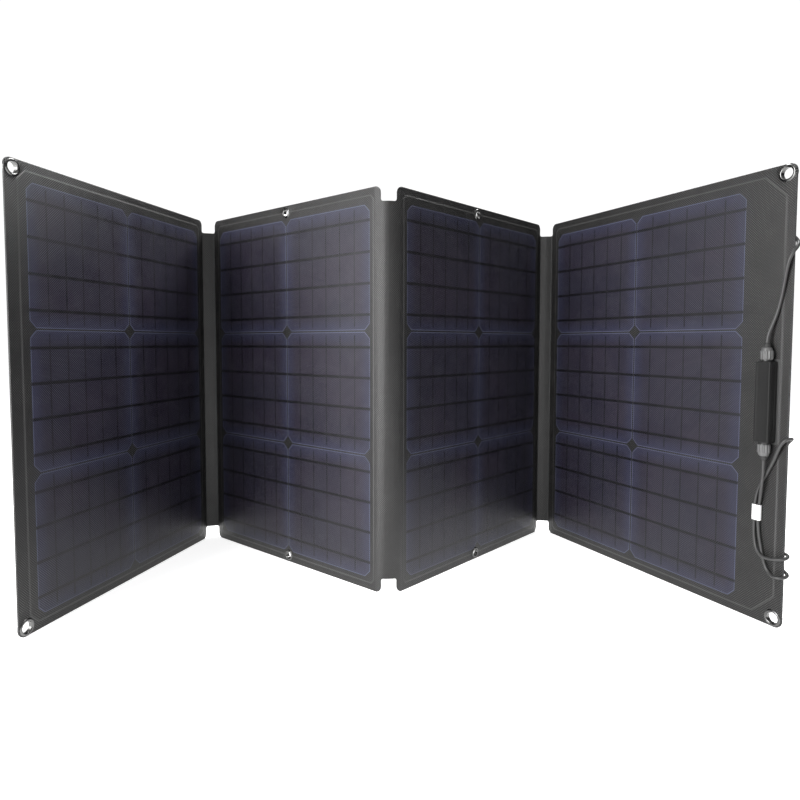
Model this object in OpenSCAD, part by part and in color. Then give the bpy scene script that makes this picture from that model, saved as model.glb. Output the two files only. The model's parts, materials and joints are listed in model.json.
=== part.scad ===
// Folding solar blanket: four cell panels joined by three fabric folds, standing
// on their lower edges in a zigzag, with an in-line regulator on the last panel.
// Each panel is drawn in its own frame: X runs along the panel, Z is up, and the
// front (cell) side faces -Y. place_panel() and place_web() then stand it in the row.

/* [Cells] */
// Side of one pseudo-square wafer
cell = 156.75; // [125:0.25:160]
// Diameter of the ingot that the wafer corners follow
ingot_d = 210; // [200:1:220]
// Gap between neighbouring cells
cell_gap = 2; // [1:0.5:4]
// Rows of cells up one panel
cell_rows = 3; // [2:1:3]
// Ribbons across each row of cells
ribbon_count = 4; // [2:1:5]
// Width of one ribbon
ribbon_w = 1.4; // [0.8:0.1:2]
// How far the block of cells sits below the middle of the sheet
cell_drop = 2; // [0:0.5:4]

/* [Sheet] */
// Height of the sheet
sheet_h = 510; // [505:1:530]
// Plain border outside the cells of the first panel
first_border = 25.5; // [22:0.5:40]
// Plain border outside the cells of the last panel, which carries the leads
last_border = 55; // [52:0.5:70]
// Radius of the sheet's corners
corner_r = 8; // [4:0.5:9]
// Distance from the sheet's edge to the stiffening board
board_inset = 10.5; // [9:0.5:11]
// Distance from the first panel's outer edge to its board
first_board_inset = 16; // [14:0.5:18]

/* [Layers] */
// Depth of the back cover behind the fold line
back_depth = 2; // [1.8:0.1:2.4]
// Depth of the front laminate ahead of the fold line
front_depth = 1.4; // [1.2:0.1:1.8]
// Plane where the front laminate meets the board
board_face = 0.4; // [0.2:0.1:0.6]
// Thickness of the cover fabric behind the board
cover_t = 0.6; // [0.4:0.1:0.8]
// Thickness of a cell
cell_t = 0.3; // [0.2:0.1:0.4]
// Thickness of a ribbon
ribbon_t = 0.15; // [0.1:0.05:0.3]
// Thickness of each of the two layers of a fold
web_layer_t = 0.8; // [0.5:0.1:1]

/* [Folds] */
// Heading of the first panel, from the row's own direction
first_heading = 73.6; // [70:0.1:80]
// Turn of the first fold as the blanket stands
turn_1 = 114; // [100:0.5:120]
// Turn of the middle fold as the blanket stands
turn_2 = 87; // [80:0.5:100]
// Turn of the last fold as the blanket stands
turn_3 = 111.6; // [100:0.1:120]
// Width of the flexible strip in each fold
web_w = 19; // [18:0.5:24]
// Border between the cells and the fold line
fold_border = 18; // [16:0.5:20]
// Depth of the notch at both ends of each fold
notch_d = 18.5; // [12:0.5:20]

/* [Grommets] */
// Distance of each grommet from the sheet's edges
grommet_inset = 9.8; // [9.6:0.1:12]
// Bore of a corner grommet
grommet_bore = 12; // [8:0.5:12]
// Outer diameter of a corner grommet
grommet_d = 18.5; // [17:0.5:19]
// Bore of an eyelet
eyelet_bore = 9; // [6:0.5:9]
// Outer diameter of an eyelet
eyelet_d = 15; // [13:0.5:16]

/* [Regulator] */
// Width of the in-line box
box_w = 16.5; // [14:0.5:18]
// Length of the in-line box
box_h = 90; // [70:1:100]
// Depth of the in-line box
box_depth = 13.6; // [12:0.1:14]
// Distance of the box's centre from the panel's outer edge
box_from_edge = 20.75; // [20:0.25:24]
// Height of the box's lower end
box_z = 207; // [200:1:215]
// Diameter of a gland nut
nut_d = 13; // [12:0.5:13.5]

/* [Leads] */
// Diameter of both leads
lead_d = 3.6; // [3:0.1:4]

/* [Hidden] */

$fn = 48;
pitch = cell + cell_gap;
cells_z = sheet_h / 2 - cell_drop;
columns = 2;
half_cells = cell_gap / 2 + cell;
half_panel = half_cells + fold_border;
first_edge = -(half_cells + first_border);
last_edge = half_cells + last_border;
hinge_gap = 1.2;
web_gap = 1.2;
link_w = 6;

// Row of the folds: headings of the panels and the strips between them
panel_heading = [
    first_heading,
    first_heading - turn_1,
    first_heading - turn_1 + turn_2,
    first_heading - turn_1 + turn_2 - turn_3
];
web_heading = [for (k = [0 : 2]) (panel_heading[k] + panel_heading[k + 1]) / 2];
function along(heading, distance) = distance * [cos(heading), sin(heading)];
function centre_from_first(i) =
    i == 0
        ? [0, 0]
        : centre_from_first(i - 1) + along(panel_heading[i - 1], half_panel)
            + along(web_heading[i - 1], web_w) + along(panel_heading[i], half_panel);
// A point of panel i, x along it and front ahead of its fold line
function on_panel(i, x, front) =
    centre_from_first(i) + along(panel_heading[i], x)
        + front * [sin(panel_heading[i]), -cos(panel_heading[i])];

// The origin is under the middle of the row's own box
grommet_reach = grommet_inset - grommet_d / 2;
flange_t = 1;
left_x = min(
    on_panel(0, first_edge, -back_depth)[0],
    on_panel(0, first_edge + grommet_reach, -back_depth - flange_t)[0]
);
right_x = max(
    on_panel(3, last_edge, -back_depth)[0],
    on_panel(3, last_edge - grommet_reach, -back_depth - flange_t)[0]
);
near_y = min(
    on_panel(0, first_edge, front_depth)[1],
    on_panel(0, first_edge + grommet_reach, front_depth + flange_t)[1]
);
far_y = max(
    on_panel(2, half_panel - hinge_gap, -back_depth)[1],
    on_panel(3, -half_panel + hinge_gap, -back_depth)[1]
);
row_middle = [(left_x + right_x) / 2, (near_y + far_y) / 2];

panel_left = [first_edge, -half_panel + hinge_gap, -half_panel + hinge_gap, -half_panel + hinge_gap];
panel_right = [half_panel - hinge_gap, half_panel - hinge_gap, half_panel - hinge_gap, last_edge];

// Stiffening boards: ends and the corners cut off them, left then right
board_end = half_cells + 5;
board_left = [first_edge + first_board_inset, -board_end, -board_end, -board_end];
board_right = [board_end, board_end, board_end, last_edge - board_inset];
board_cut = [[10, 4], [4, 4], [4, 4], [4, 24]];

// Grommet and eyelet places along each panel
eyelet_x = [[first_edge + grommet_inset], [0], [-5], [last_edge - grommet_inset]];
hole_z = [grommet_inset, sheet_h - grommet_inset];
barrel_t = 0.7;
function bore_r(i) = (i == 0 || i == 3) ? grommet_bore / 2 : eyelet_bore / 2;
function rim_r(i) = (i == 0 || i == 3) ? grommet_d / 2 : eyelet_d / 2;

// Regulator box and its glands
box_x = last_edge - box_from_edge;
pad_t = 0.6;
pad_rim = 2.5;
box_back = front_depth + pad_t;
box_wall = 1.6;
box_split = box_back + 5;
box_front = box_back + box_depth;
gland_front = box_back + box_depth / 2;
collar_d = 10;
collar_h = 2;
nut_h = 13.5;
seal_d = 8;
seal_h = 5;
seal_in = 2;
// Depth by which each lead enters the seal or strain relief that holds it
lead_in = 2;
gland_bore = 6;
circuit_w = 11.6;
circuit_end = 12;
circuit_t = 1;
circuit_face = box_back + box_wall + circuit_t;
inductor_up = 32;
inductor_d = 11;
inductor_bore = 5;
inductor_h = 5;
capacitor_up = [52, 61];
capacitor_d = 8;
capacitor_h = 6;

// Junction box behind the last panel
junction_x = 168;
junction_z = 436;
junction_w = 34;
junction_h = 46;
junction_depth = 11;
junction_wall = 1.8;
junction_lid_t = 2;
junction_floor_t = 2;
junction_lead_depth = 7.5;
junction_lead_d = 5;
relief_l = 12;

// Lead routes on the last panel: x along it, front ahead of its fold line, height
input_route = [
    [195, -7.5, 436], [198, -7.5, 436], [203.4, -7.5, 434.6], [209, -7, 430.6], [213.4, -4.6, 425.4],
    [215.3, -0.4, 420.6], [214.4, 3.8, 415.4], [211.4, 6, 407.4], [208.4, 5.8, 396], [205.6, 4.6, 382],
    [202.4, 3.9, 366], [198.8, 4.4, 350], [195.2, 6.2, 337], [192.8, 8.2, 327], [192, 8.8, 320],
    [192, 8.8, 315.5]
];
output_route = [
    [192, 8.8, 188.5], [192, 8.8, 184], [192, 8.9, 178], [191.8, 8.8, 171], [191, 8.4, 163],
    [189.4, 7.2, 153], [187.2, 5, 142], [185.4, 3.7, 133], [184.6, 3.6, 124], [184.8, 3.6, 114],
    [186, 3.6, 102], [188.4, 3.6, 89], [191.2, 3.6, 77], [194.6, 3.7, 67], [199, 4.6, 61.4],
    [203.6, 6.2, 59], [208.2, 6.9, 58.6], [213.3, 4.8, 59.2], [215.4, -0.3, 60.4], [213.3, -5.4, 61.8],
    [208.4, -7.2, 64], [204.2, -6.4, 68.6], [202, -5, 76], [201, -4.3, 87], [200.6, -4.2, 105],
    [200.6, -4.2, 130], [200.8, -4.2, 155], [201.2, -4.4, 174], [202.2, -5.2, 188], [204.6, -6.6, 199.6],
    [208.6, -7.2, 207.4], [213.3, -5.2, 211.8], [215.4, -0.3, 213], [213.3, 4.8, 211.8],
    [209, 6.4, 206.6], [205, 5.6, 198], [200.4, 4.4, 187], [194.4, 3.6, 174.6], [188.2, 3.6, 162],
    [183.2, 3.6, 149.6], [180.8, 3.6, 137], [180.4, 3.6, 124], [180.2, 3.6, 112], [180.6, 3.8, 100.6],
    [182.8, 4.8, 90], [187, 6.5, 82], [193, 7.7, 78], [200, 7.6, 77.4], [207.6, 7, 78.4],
    [213.2, 4.8, 80], [215.4, -0.3, 81.4], [213.3, -5.4, 82.6], [208.4, -8.4, 82.8], [203, -9.2, 81],
    [198.6, -9.2, 77], [195.6, -9, 70.6], [194.4, -8.8, 62.6], [194.4, -8.8, 55]
];

// White tag: a flat sleeve around both runs of the output lead
tag_x = 182.9;
tag_w = 9.8;
tag_h = 17.5;
tag_z = 116.5;
tag_t = 0.3;
tag_back = front_depth + 0.05;
tag_front = 6;

// Output plug, hanging behind the panel's lower corner
plug_x = 194.4;
plug_front = -8.8;
plug_top = 55 + lead_in;
plug_relief_h = 14;
plug_body_h = 22;
plug_body_d = 9.4;
plug_barrel_h = 10;
plug_barrel_d = 5.5;
plug_bore_d = 2.5;
plug_bore_depth = 8;

module place_panel(i) {
    spot = centre_from_first(i) - row_middle;
    translate([spot[0], spot[1], 0]) rotate([0, 0, panel_heading[i]]) children();
}

module place_web(k) {
    spot = centre_from_first(k) + along(panel_heading[k], half_panel) - row_middle;
    translate([spot[0], spot[1], 0]) rotate([0, 0, web_heading[k]]) children();
}

// Extrudes an upright outline from one depth to another, both counted to the front
module layer(from, to) {
    translate([0, -from, 0]) rotate([90, 0, 0]) linear_extrude(to - from) children();
}

module rounded_outline(x0, x1, z0, z1, r) {
    translate([x0 + r, z0]) square([x1 - x0 - 2 * r, z1 - z0]);
    translate([x0, z0 + r]) square([x1 - x0, z1 - z0 - 2 * r]);
    for (x = [x0 + r, x1 - r], z = [z0 + r, z1 - r]) translate([x, z]) circle(r);
}

module wafer_outline() {
    intersection() {
        square(cell, center = true);
        circle(d = ingot_d, $fn = 96);
    }
}

module cell_outlines() {
    for (c = [0 : columns - 1], r = [0 : cell_rows - 1]) {
        x = (c - (columns - 1) / 2) * pitch;
        z = cells_z + (r - (cell_rows - 1) / 2) * pitch;
        translate([x, z]) wafer_outline();
    }
}

module ribbon_outlines() {
    for (r = [0 : cell_rows - 1], n = [0 : ribbon_count - 1]) {
        row_z = cells_z + (r - (cell_rows - 1) / 2) * pitch;
        z = row_z + ((n + 0.5) / ribbon_count - 0.5) * cell;
        translate([0, z]) square([2 * half_cells - 8, ribbon_w], center = true);
    }
}

module hole_outlines(i, r) {
    for (x = eyelet_x[i], z = hole_z) translate([x, z]) circle(r);
}

module sheet_outline(i) {
    difference() {
        rounded_outline(panel_left[i], panel_right[i], 0, sheet_h, corner_r);
        hole_outlines(i, bore_r(i) + barrel_t);
    }
}

module board_outline(i) {
    x0 = board_left[i];
    x1 = board_right[i];
    a = board_cut[i][0];
    b = board_cut[i][1];
    low = board_inset;
    top = sheet_h - board_inset;
    difference() {
        polygon([
            [x0 + a, low], [x1 - b, low], [x1, low + b], [x1, top - b],
            [x1 - b, top], [x0 + a, top], [x0, top - a], [x0, low + a]
        ]);
        hole_outlines(i, rim_r(i));
    }
}

module front_film(i) {
    color("#26282d")
    place_panel(i) difference() {
        layer(board_face, front_depth) sheet_outline(i);
        layer(board_face, board_face + cell_t) cell_outlines();
        layer(board_face + cell_t, board_face + cell_t + ribbon_t) ribbon_outlines();
    }
}

module cells(i) {
    color("#23263f")
    place_panel(i) layer(board_face, board_face + cell_t) cell_outlines();
}

module ribbons(i) {
    color("#15161c")
    place_panel(i) layer(board_face + cell_t, board_face + cell_t + ribbon_t) ribbon_outlines();
}

module board(i) {
    color("#1c1d20")
    place_panel(i) layer(cover_t - back_depth, board_face) board_outline(i);
}

module back_cover(i) {
    color("#2b2c2f")
    place_panel(i) difference() {
        layer(-back_depth, board_face) sheet_outline(i);
        layer(cover_t - back_depth, board_face) board_outline(i);
    }
}

module web_outline() {
    translate([web_gap, notch_d]) square([web_w - 2 * web_gap, sheet_h - 2 * notch_d]);
}

module link_outlines() {
    for (side = [-1, 1]) {
        z = sheet_h / 2 + side * pitch;
        translate([web_gap, z - link_w / 2]) square([web_w - 2 * web_gap, link_w]);
    }
}

module front_web(k) {
    color("#303237")
    place_web(k) difference() {
        layer(0, web_layer_t) web_outline();
        layer(0, ribbon_t) link_outlines();
    }
}

module back_web(k) {
    color("#2b2c2f")
    place_web(k) layer(-web_layer_t, 0) web_outline();
}

module link_ribbons(k) {
    color("#8a5a34")
    place_web(k) layer(0, ribbon_t) link_outlines();
}

// Turned part whose axis runs through the sheet, profile in radius and depth
module turned_through(x, z) {
    translate([x, 0, z]) rotate([90, 0, 0]) rotate_extrude($fn = 64) children();
}

module rim_profile(r0, r1, from, height) {
    mid = (r0 + r1) / 2;
    half = (r1 - r0) / 2;
    dome_r = (half * half + height * height) / (2 * height);
    intersection() {
        translate([mid, from + height - dome_r]) circle(dome_r, $fn = 64);
        translate([r0, from]) square([r1 - r0, height]);
    }
}

module grommets(i) {
    r = bore_r(i);
    color("#c9c9c6")
    place_panel(i) for (x = eyelet_x[i], z = hole_z) turned_through(x, z) {
        translate([r, -back_depth - flange_t]) square([barrel_t, back_depth + flange_t + front_depth]);
        rim_profile(r, rim_r(i), front_depth, flange_t);
    }
}

module grommet_washers(i) {
    color("#b4b4b1")
    place_panel(i) for (x = eyelet_x[i], z = hole_z) turned_through(x, z) {
        translate([bore_r(i) + barrel_t, -back_depth - flange_t])
            square([rim_r(i) - bore_r(i) - barrel_t, flange_t]);
    }
}

module on_last_panel() {
    place_panel(3) children();
}

module inline_box_pad() {
    color("#3a3c40")
    on_last_panel() layer(front_depth, front_depth + pad_t)
        rounded_outline(box_x - box_w / 2 - pad_rim, box_x + box_w / 2 + pad_rim,
            box_z - pad_rim, box_z + box_h + pad_rim, 3);
}

module box_outline(inside) {
    rounded_outline(box_x - box_w / 2 + inside, box_x + box_w / 2 - inside,
        box_z + inside, box_z + box_h - inside, 1.2);
}

module gland_holes() {
    translate([box_x, -gland_front, box_z - 1]) cylinder(h = box_h + 2, d = gland_bore);
}

module inline_box_base() {
    color("#1f2023")
    on_last_panel() difference() {
        layer(box_back, box_split) box_outline(0);
        layer(box_back + box_wall, box_split) box_outline(box_wall);
        gland_holes();
    }
}

module inline_box_cover() {
    bevel = 1;
    color("#2a2b2f")
    on_last_panel() difference() {
        union() {
            layer(box_split, box_front - bevel) box_outline(0);
            layer(box_front - bevel, box_front) box_outline(bevel);
        }
        layer(box_split, box_front - box_wall) box_outline(box_wall);
        gland_holes();
    }
}

module inline_box_circuit_board() {
    color("#1f5a36")
    on_last_panel() layer(circuit_face - circuit_t, circuit_face)
        translate([box_x - circuit_w / 2, box_z + circuit_end]) square([circuit_w, box_h - 2 * circuit_end]);
}

module inline_box_inductor() {
    color("#55585c")
    on_last_panel() layer(circuit_face, circuit_face + inductor_h)
        translate([box_x, box_z + inductor_up]) difference() {
            circle(d = inductor_d);
            circle(d = inductor_bore);
        }
}

module inline_box_capacitors() {
    color("#22252c")
    on_last_panel() for (up = capacitor_up) layer(circuit_face, circuit_face + capacitor_h)
        translate([box_x, box_z + up]) circle(d = capacitor_d);
}

// One gland at each end of the box: side is -1 below it and 1 above
module at_gland(side) {
    end_z = side > 0 ? box_z + box_h : box_z;
    translate([box_x, -gland_front, end_z]) mirror([0, 0, side > 0 ? 0 : 1]) children();
}

module cable_gland_bodies() {
    color("#232427")
    on_last_panel() for (side = [-1, 1]) at_gland(side) difference() {
        union() {
            cylinder(h = collar_h, d = collar_d);
            cylinder(h = collar_h + nut_h - 2, d = collar_d - 2);
        }
        translate([0, 0, -1]) cylinder(h = collar_h + nut_h + 2, d = gland_bore);
    }
}

module cable_gland_nuts() {
    ribs = 14;
    rib_d = 1.4;
    color("#34363a")
    on_last_panel() for (side = [-1, 1]) at_gland(side) translate([0, 0, collar_h]) difference() {
        union() {
            cylinder(h = nut_h, d = nut_d - rib_d);
            for (n = [0 : ribs - 1]) rotate([0, 0, n * 360 / ribs])
                translate([(nut_d - rib_d) / 2, 0, 1]) cylinder(h = nut_h - 2, d = rib_d, $fn = 16);
        }
        translate([0, 0, -1]) cylinder(h = nut_h - 1, d = collar_d - 2);
        translate([0, 0, -1]) cylinder(h = nut_h + 2, d = seal_d - 1);
    }
}

module cable_gland_seals() {
    color("#2c2d30")
    on_last_panel() for (side = [-1, 1]) at_gland(side) translate([0, 0, collar_h + nut_h - seal_in])
        difference() {
            union() {
                cylinder(h = seal_in, d = seal_d - 1);
                translate([0, 0, seal_in]) cylinder(h = seal_h, d = seal_d);
            }
            translate([0, 0, seal_in + seal_h - lead_in]) cylinder(h = lead_in + 1, d = lead_d);
        }
}

module junction_outline(inside) {
    rounded_outline(junction_x - junction_w / 2 + inside, junction_x + junction_w / 2 - inside,
        junction_z - junction_h / 2 + inside, junction_z + junction_h / 2 - inside, 3);
}

module junction_lead_hole() {
    translate([junction_x, junction_lead_depth, junction_z]) rotate([0, 90, 0])
        cylinder(h = junction_w, d = junction_lead_d);
}

module junction_box_base() {
    color("#1d1e20")
    on_last_panel() difference() {
        layer(-back_depth - junction_depth + junction_lid_t, -back_depth) junction_outline(0);
        layer(-back_depth - junction_depth + junction_lid_t, -back_depth - junction_floor_t)
            junction_outline(junction_wall);
        junction_lead_hole();
    }
}

module junction_box_lid() {
    color("#232427")
    on_last_panel() layer(-back_depth - junction_depth, -back_depth - junction_depth + junction_lid_t)
        junction_outline(0);
}

module junction_box_diode() {
    diode = [5, 9, 5];
    color("#17181a")
    on_last_panel() layer(-back_depth - junction_floor_t - diode[2], -back_depth - junction_floor_t)
        translate([junction_x - 8, junction_z - 12]) square([diode[0], diode[1]]);
}

module junction_box_terminals() {
    terminal = [7, 4, 3];
    color("#b08d45")
    on_last_panel() for (z = [-14, 10])
        layer(-back_depth - junction_floor_t - terminal[2], -back_depth - junction_floor_t)
            translate([junction_x + 2, junction_z + z]) square([terminal[0], terminal[1]]);
}

module junction_box_strain_relief() {
    end_x = junction_x + junction_w / 2;
    color("#232427")
    on_last_panel() translate([end_x, junction_lead_depth, junction_z]) rotate([0, 90, 0])
        difference() {
            union() {
                translate([0, 0, -junction_wall]) cylinder(h = junction_wall, d = junction_lead_d - 0.1);
                cylinder(h = relief_l, d1 = 8, d2 = 5.4);
            }
            translate([0, 0, relief_l - lead_in]) cylinder(h = lead_in + 1, d = lead_d);
        }
}

// Unit direction of a route at point n, from its neighbours
function route_step(route, n) =
    route[min(n + 1, len(route) - 1)] - route[max(n - 1, 0)];
function unit(v) = v / norm(v);
// Sides square to the step; the first side leans on the sheet's own normal
function ring(centre, step, r, sides) =
    let (w = unit(step), lean = abs(w[1]) > 0.9 ? [1, 0, 0] : [0, 1, 0])
    let (u = unit(cross(w, lean)), v = cross(w, u))
    [for (s = [0 : sides - 1]) centre + r * (cos(s * 360 / sides) * u + sin(s * 360 / sides) * v)];

module tube(route, d) {
    sides = 8;
    count = len(route);
    points = [for (p = route) [p[0], -p[1], p[2]]];
    rings = [for (n = [0 : count - 1]) each ring(points[n], route_step(points, n), d / 2, sides)];
    skin = [
        for (n = [0 : count - 2], s = [0 : sides - 1])
            let (a = n * sides + s, b = n * sides + (s + 1) % sides)
            [b, a, a + sides, b + sides]
    ];
    first_cap = [for (s = [0 : sides - 1]) s];
    last_cap = [for (s = [sides - 1 : -1 : 0]) (count - 1) * sides + s];
    polyhedron(points = rings, faces = concat(skin, [first_cap, last_cap]), convexity = 8);
}

module input_lead() {
    color("#3b3c40")
    on_last_panel() tube(input_route, lead_d);
}

module output_lead() {
    color("#3b3c40")
    on_last_panel() tube(output_route, lead_d);
}

module lead_tag() {
    color("#f2f2ef")
    on_last_panel() difference() {
        layer(tag_back, tag_front) translate([tag_x - tag_w / 2, tag_z]) square([tag_w, tag_h]);
        layer(tag_back + tag_t, tag_front - tag_t)
            translate([tag_x - tag_w / 2 + tag_t, tag_z - 1]) square([tag_w - 2 * tag_t, tag_h + 2]);
    }
}

// Places a piece of the output plug, its lower end this far below the plug's top
module on_plug(below) {
    on_last_panel() translate([plug_x, -plug_front, plug_top - below]) children();
}

module output_plug_strain_relief() {
    color("#232427")
    on_plug(plug_relief_h) difference() {
        cylinder(h = plug_relief_h, d1 = 7, d2 = 5);
        translate([0, 0, plug_relief_h - lead_in]) cylinder(h = lead_in + 1, d = lead_d);
    }
}

module output_plug_body() {
    color("#1f2023")
    on_plug(plug_relief_h + plug_body_h) cylinder(h = plug_body_h, d = plug_body_d);
}

module output_plug_barrel() {
    color("#c4c4c0")
    on_plug(plug_relief_h + plug_body_h + plug_barrel_h) difference() {
        cylinder(h = plug_barrel_h, d = plug_barrel_d);
        translate([0, 0, -1]) cylinder(h = plug_bore_depth + 1, d = plug_bore_d);
    }
}

front_film(0);  // panel_1_front_film
cells(0);  // panel_1_cells
ribbons(0);  // panel_1_ribbons
board(0);  // panel_1_board
back_cover(0);  // panel_1_back_cover
front_film(1);  // panel_2_front_film
cells(1);  // panel_2_cells
ribbons(1);  // panel_2_ribbons
board(1);  // panel_2_board
back_cover(1);  // panel_2_back_cover
front_film(2);  // panel_3_front_film
cells(2);  // panel_3_cells
ribbons(2);  // panel_3_ribbons
board(2);  // panel_3_board
back_cover(2);  // panel_3_back_cover
front_film(3);  // panel_4_front_film
cells(3);  // panel_4_cells
ribbons(3);  // panel_4_ribbons
board(3);  // panel_4_board
back_cover(3);  // panel_4_back_cover
front_web(0);  // fold_1_front_web
back_web(0);  // fold_1_back_web
link_ribbons(0);  // fold_1_link_ribbons
front_web(1);  // fold_2_front_web
back_web(1);  // fold_2_back_web
link_ribbons(1);  // fold_2_link_ribbons
front_web(2);  // fold_3_front_web
back_web(2);  // fold_3_back_web
link_ribbons(2);  // fold_3_link_ribbons
grommets(0);  // panel_1_corner_grommets
grommet_washers(0);  // panel_1_grommet_washers
grommets(1);  // panel_2_eyelets
grommet_washers(1);  // panel_2_eyelet_washers
grommets(2);  // panel_3_eyelets
grommet_washers(2);  // panel_3_eyelet_washers
grommets(3);  // panel_4_corner_grommets
grommet_washers(3);  // panel_4_grommet_washers
inline_box_pad();
inline_box_base();
inline_box_cover();
inline_box_circuit_board();
inline_box_inductor();
inline_box_capacitors();
cable_gland_bodies();
cable_gland_nuts();
cable_gland_seals();
junction_box_base();
junction_box_lid();
junction_box_diode();
junction_box_terminals();
junction_box_strain_relief();
input_lead();
output_lead();
lead_tag();
output_plug_strain_relief();
output_plug_body();
output_plug_barrel();
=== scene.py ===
"""Folding solar blanket: four panels of cells standing in a zigzag, with an in-line regulator.

Sizes on a panel are in millimetres in its own frame: x along the panel, v ahead of its fold
line (the cell side is +v) and z up. on_panel() turns them into the row frame, in metres.
"""
import json
import math

import bmesh
import bpy
import numpy as np
from mathutils import Vector
from mathutils.geometry import delaunay_2d_cdt
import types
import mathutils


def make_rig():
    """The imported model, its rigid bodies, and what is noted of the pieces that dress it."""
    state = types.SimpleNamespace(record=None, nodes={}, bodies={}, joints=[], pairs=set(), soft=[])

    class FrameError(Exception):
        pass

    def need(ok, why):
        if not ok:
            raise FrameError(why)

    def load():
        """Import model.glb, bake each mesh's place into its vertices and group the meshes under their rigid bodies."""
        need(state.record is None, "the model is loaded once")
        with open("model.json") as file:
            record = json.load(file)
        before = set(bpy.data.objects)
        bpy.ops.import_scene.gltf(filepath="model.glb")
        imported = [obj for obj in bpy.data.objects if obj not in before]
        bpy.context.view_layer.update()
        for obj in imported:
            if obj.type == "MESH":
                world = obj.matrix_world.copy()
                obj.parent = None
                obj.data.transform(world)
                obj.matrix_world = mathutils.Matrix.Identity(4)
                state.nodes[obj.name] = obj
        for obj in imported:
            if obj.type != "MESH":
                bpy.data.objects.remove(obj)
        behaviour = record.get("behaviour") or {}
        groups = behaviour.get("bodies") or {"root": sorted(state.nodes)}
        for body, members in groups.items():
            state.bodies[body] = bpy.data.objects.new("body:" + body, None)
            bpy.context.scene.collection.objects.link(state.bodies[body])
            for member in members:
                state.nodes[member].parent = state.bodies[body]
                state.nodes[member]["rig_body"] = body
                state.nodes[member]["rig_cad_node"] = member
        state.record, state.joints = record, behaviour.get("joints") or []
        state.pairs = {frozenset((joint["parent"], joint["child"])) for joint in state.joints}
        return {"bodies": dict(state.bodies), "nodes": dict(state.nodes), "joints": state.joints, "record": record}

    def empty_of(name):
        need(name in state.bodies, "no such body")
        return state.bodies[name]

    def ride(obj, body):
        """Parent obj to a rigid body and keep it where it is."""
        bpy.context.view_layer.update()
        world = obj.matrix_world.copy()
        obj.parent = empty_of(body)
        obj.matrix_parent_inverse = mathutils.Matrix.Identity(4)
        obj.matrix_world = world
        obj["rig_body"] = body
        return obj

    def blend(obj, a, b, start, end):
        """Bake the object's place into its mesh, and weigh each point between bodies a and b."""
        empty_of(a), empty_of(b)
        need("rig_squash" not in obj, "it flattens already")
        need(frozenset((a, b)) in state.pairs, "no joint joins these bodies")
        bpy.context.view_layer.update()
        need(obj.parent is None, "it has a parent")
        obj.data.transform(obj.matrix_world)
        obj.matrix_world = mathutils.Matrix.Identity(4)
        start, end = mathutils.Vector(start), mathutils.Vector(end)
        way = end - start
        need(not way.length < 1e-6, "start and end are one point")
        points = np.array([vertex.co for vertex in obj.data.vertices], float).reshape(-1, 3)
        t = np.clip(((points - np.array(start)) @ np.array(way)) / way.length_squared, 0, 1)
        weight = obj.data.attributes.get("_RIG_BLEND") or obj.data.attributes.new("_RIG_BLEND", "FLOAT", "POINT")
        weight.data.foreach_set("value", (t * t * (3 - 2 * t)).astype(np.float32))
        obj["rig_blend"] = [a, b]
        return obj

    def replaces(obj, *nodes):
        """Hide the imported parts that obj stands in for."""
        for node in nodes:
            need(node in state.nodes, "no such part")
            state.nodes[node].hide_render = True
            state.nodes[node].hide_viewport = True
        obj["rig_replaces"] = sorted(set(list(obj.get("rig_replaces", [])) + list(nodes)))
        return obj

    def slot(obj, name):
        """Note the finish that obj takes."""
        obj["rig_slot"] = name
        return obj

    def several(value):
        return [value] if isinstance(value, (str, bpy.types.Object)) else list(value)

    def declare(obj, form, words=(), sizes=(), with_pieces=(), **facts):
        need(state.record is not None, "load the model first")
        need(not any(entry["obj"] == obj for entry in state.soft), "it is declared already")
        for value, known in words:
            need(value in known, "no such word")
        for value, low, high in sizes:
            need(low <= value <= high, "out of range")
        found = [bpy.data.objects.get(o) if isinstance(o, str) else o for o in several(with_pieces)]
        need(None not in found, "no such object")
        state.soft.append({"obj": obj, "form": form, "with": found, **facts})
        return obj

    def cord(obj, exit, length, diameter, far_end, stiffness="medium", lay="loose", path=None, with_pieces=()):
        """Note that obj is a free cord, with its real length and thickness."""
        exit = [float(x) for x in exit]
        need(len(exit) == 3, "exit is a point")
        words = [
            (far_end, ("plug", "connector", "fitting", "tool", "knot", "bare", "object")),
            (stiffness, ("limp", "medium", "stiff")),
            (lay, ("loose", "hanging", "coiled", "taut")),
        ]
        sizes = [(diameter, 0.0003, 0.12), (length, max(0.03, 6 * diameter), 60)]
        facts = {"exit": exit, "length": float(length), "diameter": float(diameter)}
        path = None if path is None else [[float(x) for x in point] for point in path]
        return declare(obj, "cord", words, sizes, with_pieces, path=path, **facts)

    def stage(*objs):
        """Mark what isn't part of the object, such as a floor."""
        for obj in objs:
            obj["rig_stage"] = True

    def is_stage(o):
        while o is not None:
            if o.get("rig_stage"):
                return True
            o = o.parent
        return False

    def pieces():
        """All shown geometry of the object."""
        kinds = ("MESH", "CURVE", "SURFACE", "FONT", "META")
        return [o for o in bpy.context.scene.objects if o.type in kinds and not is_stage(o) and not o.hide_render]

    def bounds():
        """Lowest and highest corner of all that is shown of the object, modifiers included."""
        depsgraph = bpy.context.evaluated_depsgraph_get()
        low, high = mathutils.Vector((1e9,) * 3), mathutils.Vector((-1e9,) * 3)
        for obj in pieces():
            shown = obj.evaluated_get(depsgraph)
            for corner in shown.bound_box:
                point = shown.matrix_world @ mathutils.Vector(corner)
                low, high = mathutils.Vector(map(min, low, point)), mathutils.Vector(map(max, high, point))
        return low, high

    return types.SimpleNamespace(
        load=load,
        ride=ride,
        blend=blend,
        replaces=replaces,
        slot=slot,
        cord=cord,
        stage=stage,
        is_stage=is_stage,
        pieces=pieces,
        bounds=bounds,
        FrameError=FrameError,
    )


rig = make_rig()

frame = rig.load()
cad_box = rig.bounds()

MM = 0.001
SIZE_FILE = "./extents.json"
record = frame["record"]

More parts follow.
